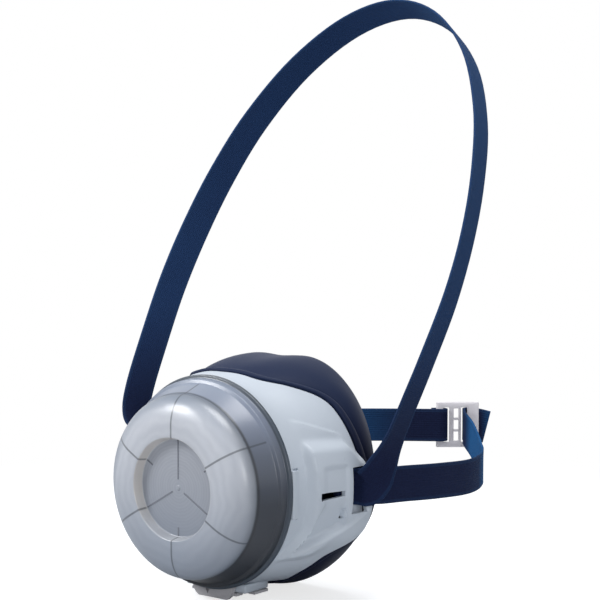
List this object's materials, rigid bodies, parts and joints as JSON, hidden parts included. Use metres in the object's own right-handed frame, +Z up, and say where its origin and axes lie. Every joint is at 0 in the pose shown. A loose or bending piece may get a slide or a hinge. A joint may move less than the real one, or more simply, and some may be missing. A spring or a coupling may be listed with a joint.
{
  "type": "half-mask respirator",
  "caption": "Half-mask respirator with a round domed filter cover, a pale shell, a navy rubber facepiece, a head loop and a buckled neck loop.",
  "frame": {"origin": "centre of the facepiece's opening, in the plane of its rearmost rim, where the face seals", "axes": "-Y is the way the mask faces, +X is the wearer's left, +Z is up"},
  "size_m": [0.1874, 0.2117, 0.3042],
  "materials": {
    "cover_plastic": "frosted smoke grey, slightly translucent",
    "shell_plastic": "satin pale blue grey",
    "natural_plastic": "satin off-white",
    "tab_grey": "satin light warm grey",
    "filter_media": "pleated off-white non-woven",
    "gasket_rubber": "matt black",
    "face_rubber": "satin dark navy",
    "valve_rubber": "matt translucent amber",
    "navy_webbing": "ribbed dark navy elastic webbing",
    "buckle_plastic": "translucent pinkish white",
    "steel": "plain steel wire"
  },
  "bodies": {
    "mask": {"housing_shell": "shell_plastic", "inner_body": "natural_plastic", "filter_grid": "natural_plastic", "filter_gasket": "gasket_rubber", "inhalation_valve_seat": "natural_plastic", "exhalation_valve_seat": "natural_plastic", "facepiece": "face_rubber", "facepiece_clamp_ring": "natural_plastic", "exhaust_hinge_pin": "steel", "strap_bar_left": "steel", "strap_bar_right": "steel", "strap_wrap_left": "navy_webbing", "strap_wrap_right": "navy_webbing"},
    "cover": {"filter_cover": "cover_plastic"},
    "filter": {"filter_element": "filter_media", "filter_frame": "natural_plastic"},
    "exhaust_door": {"exhaust_cover": "tab_grey"},
    "inhale_flap": {"inhalation_valve_flap": "valve_rubber"},
    "exhale_flap": {"exhalation_valve_flap": "valve_rubber"},
    "head_loop": {"head_strap": "navy_webbing"},
    "neck_loop": {"neck_strap_left": "navy_webbing", "neck_strap_right": "navy_webbing", "strap_buckle": "buckle_plastic"}
  },
  "joints": [
    {"name": "cover_pull", "type": "slide", "parent": "mask", "child": "cover", "axis": [0, -1, 0], "range_m": [0, 0.06]},
    {"name": "filter_pull", "type": "slide", "parent": "mask", "child": "filter", "axis": [0, -1, 0], "range_m": [0, 0.03]},
    {"name": "exhaust_open", "type": "hinge", "parent": "mask", "child": "exhaust_door", "pos_m": [0, -0.035, -0.0555], "axis": [1, 0, 0], "range_deg": [0, 70]},
    {"name": "inhale_flap_lift", "type": "slide", "parent": "mask", "child": "inhale_flap", "axis": [0, 1, 0], "range_m": [0, 0.0015], "stiffness_N_per_m": 20, "springref_m": -0.001},
    {"name": "exhale_flap_lift", "type": "slide", "parent": "mask", "child": "exhale_flap", "axis": [0, -1, 0], "range_m": [0, 0.0015], "stiffness_N_per_m": 20, "springref_m": -0.001},
    {"name": "head_loop_swing", "type": "hinge", "parent": "mask", "child": "head_loop", "pos_m": [0, -0.03, 0], "axis": [1, 0, 0], "range_deg": [-30, 25]},
    {"name": "neck_loop_swing", "type": "hinge", "parent": "mask", "child": "neck_loop", "pos_m": [0, -0.03, 0], "axis": [1, 0, 0], "range_deg": [-40, 10]}
  ],
  "couplings": [
    {"joint": "filter_pull", "follows": "cover_pull", "ratio": 0.5}
  ]
}
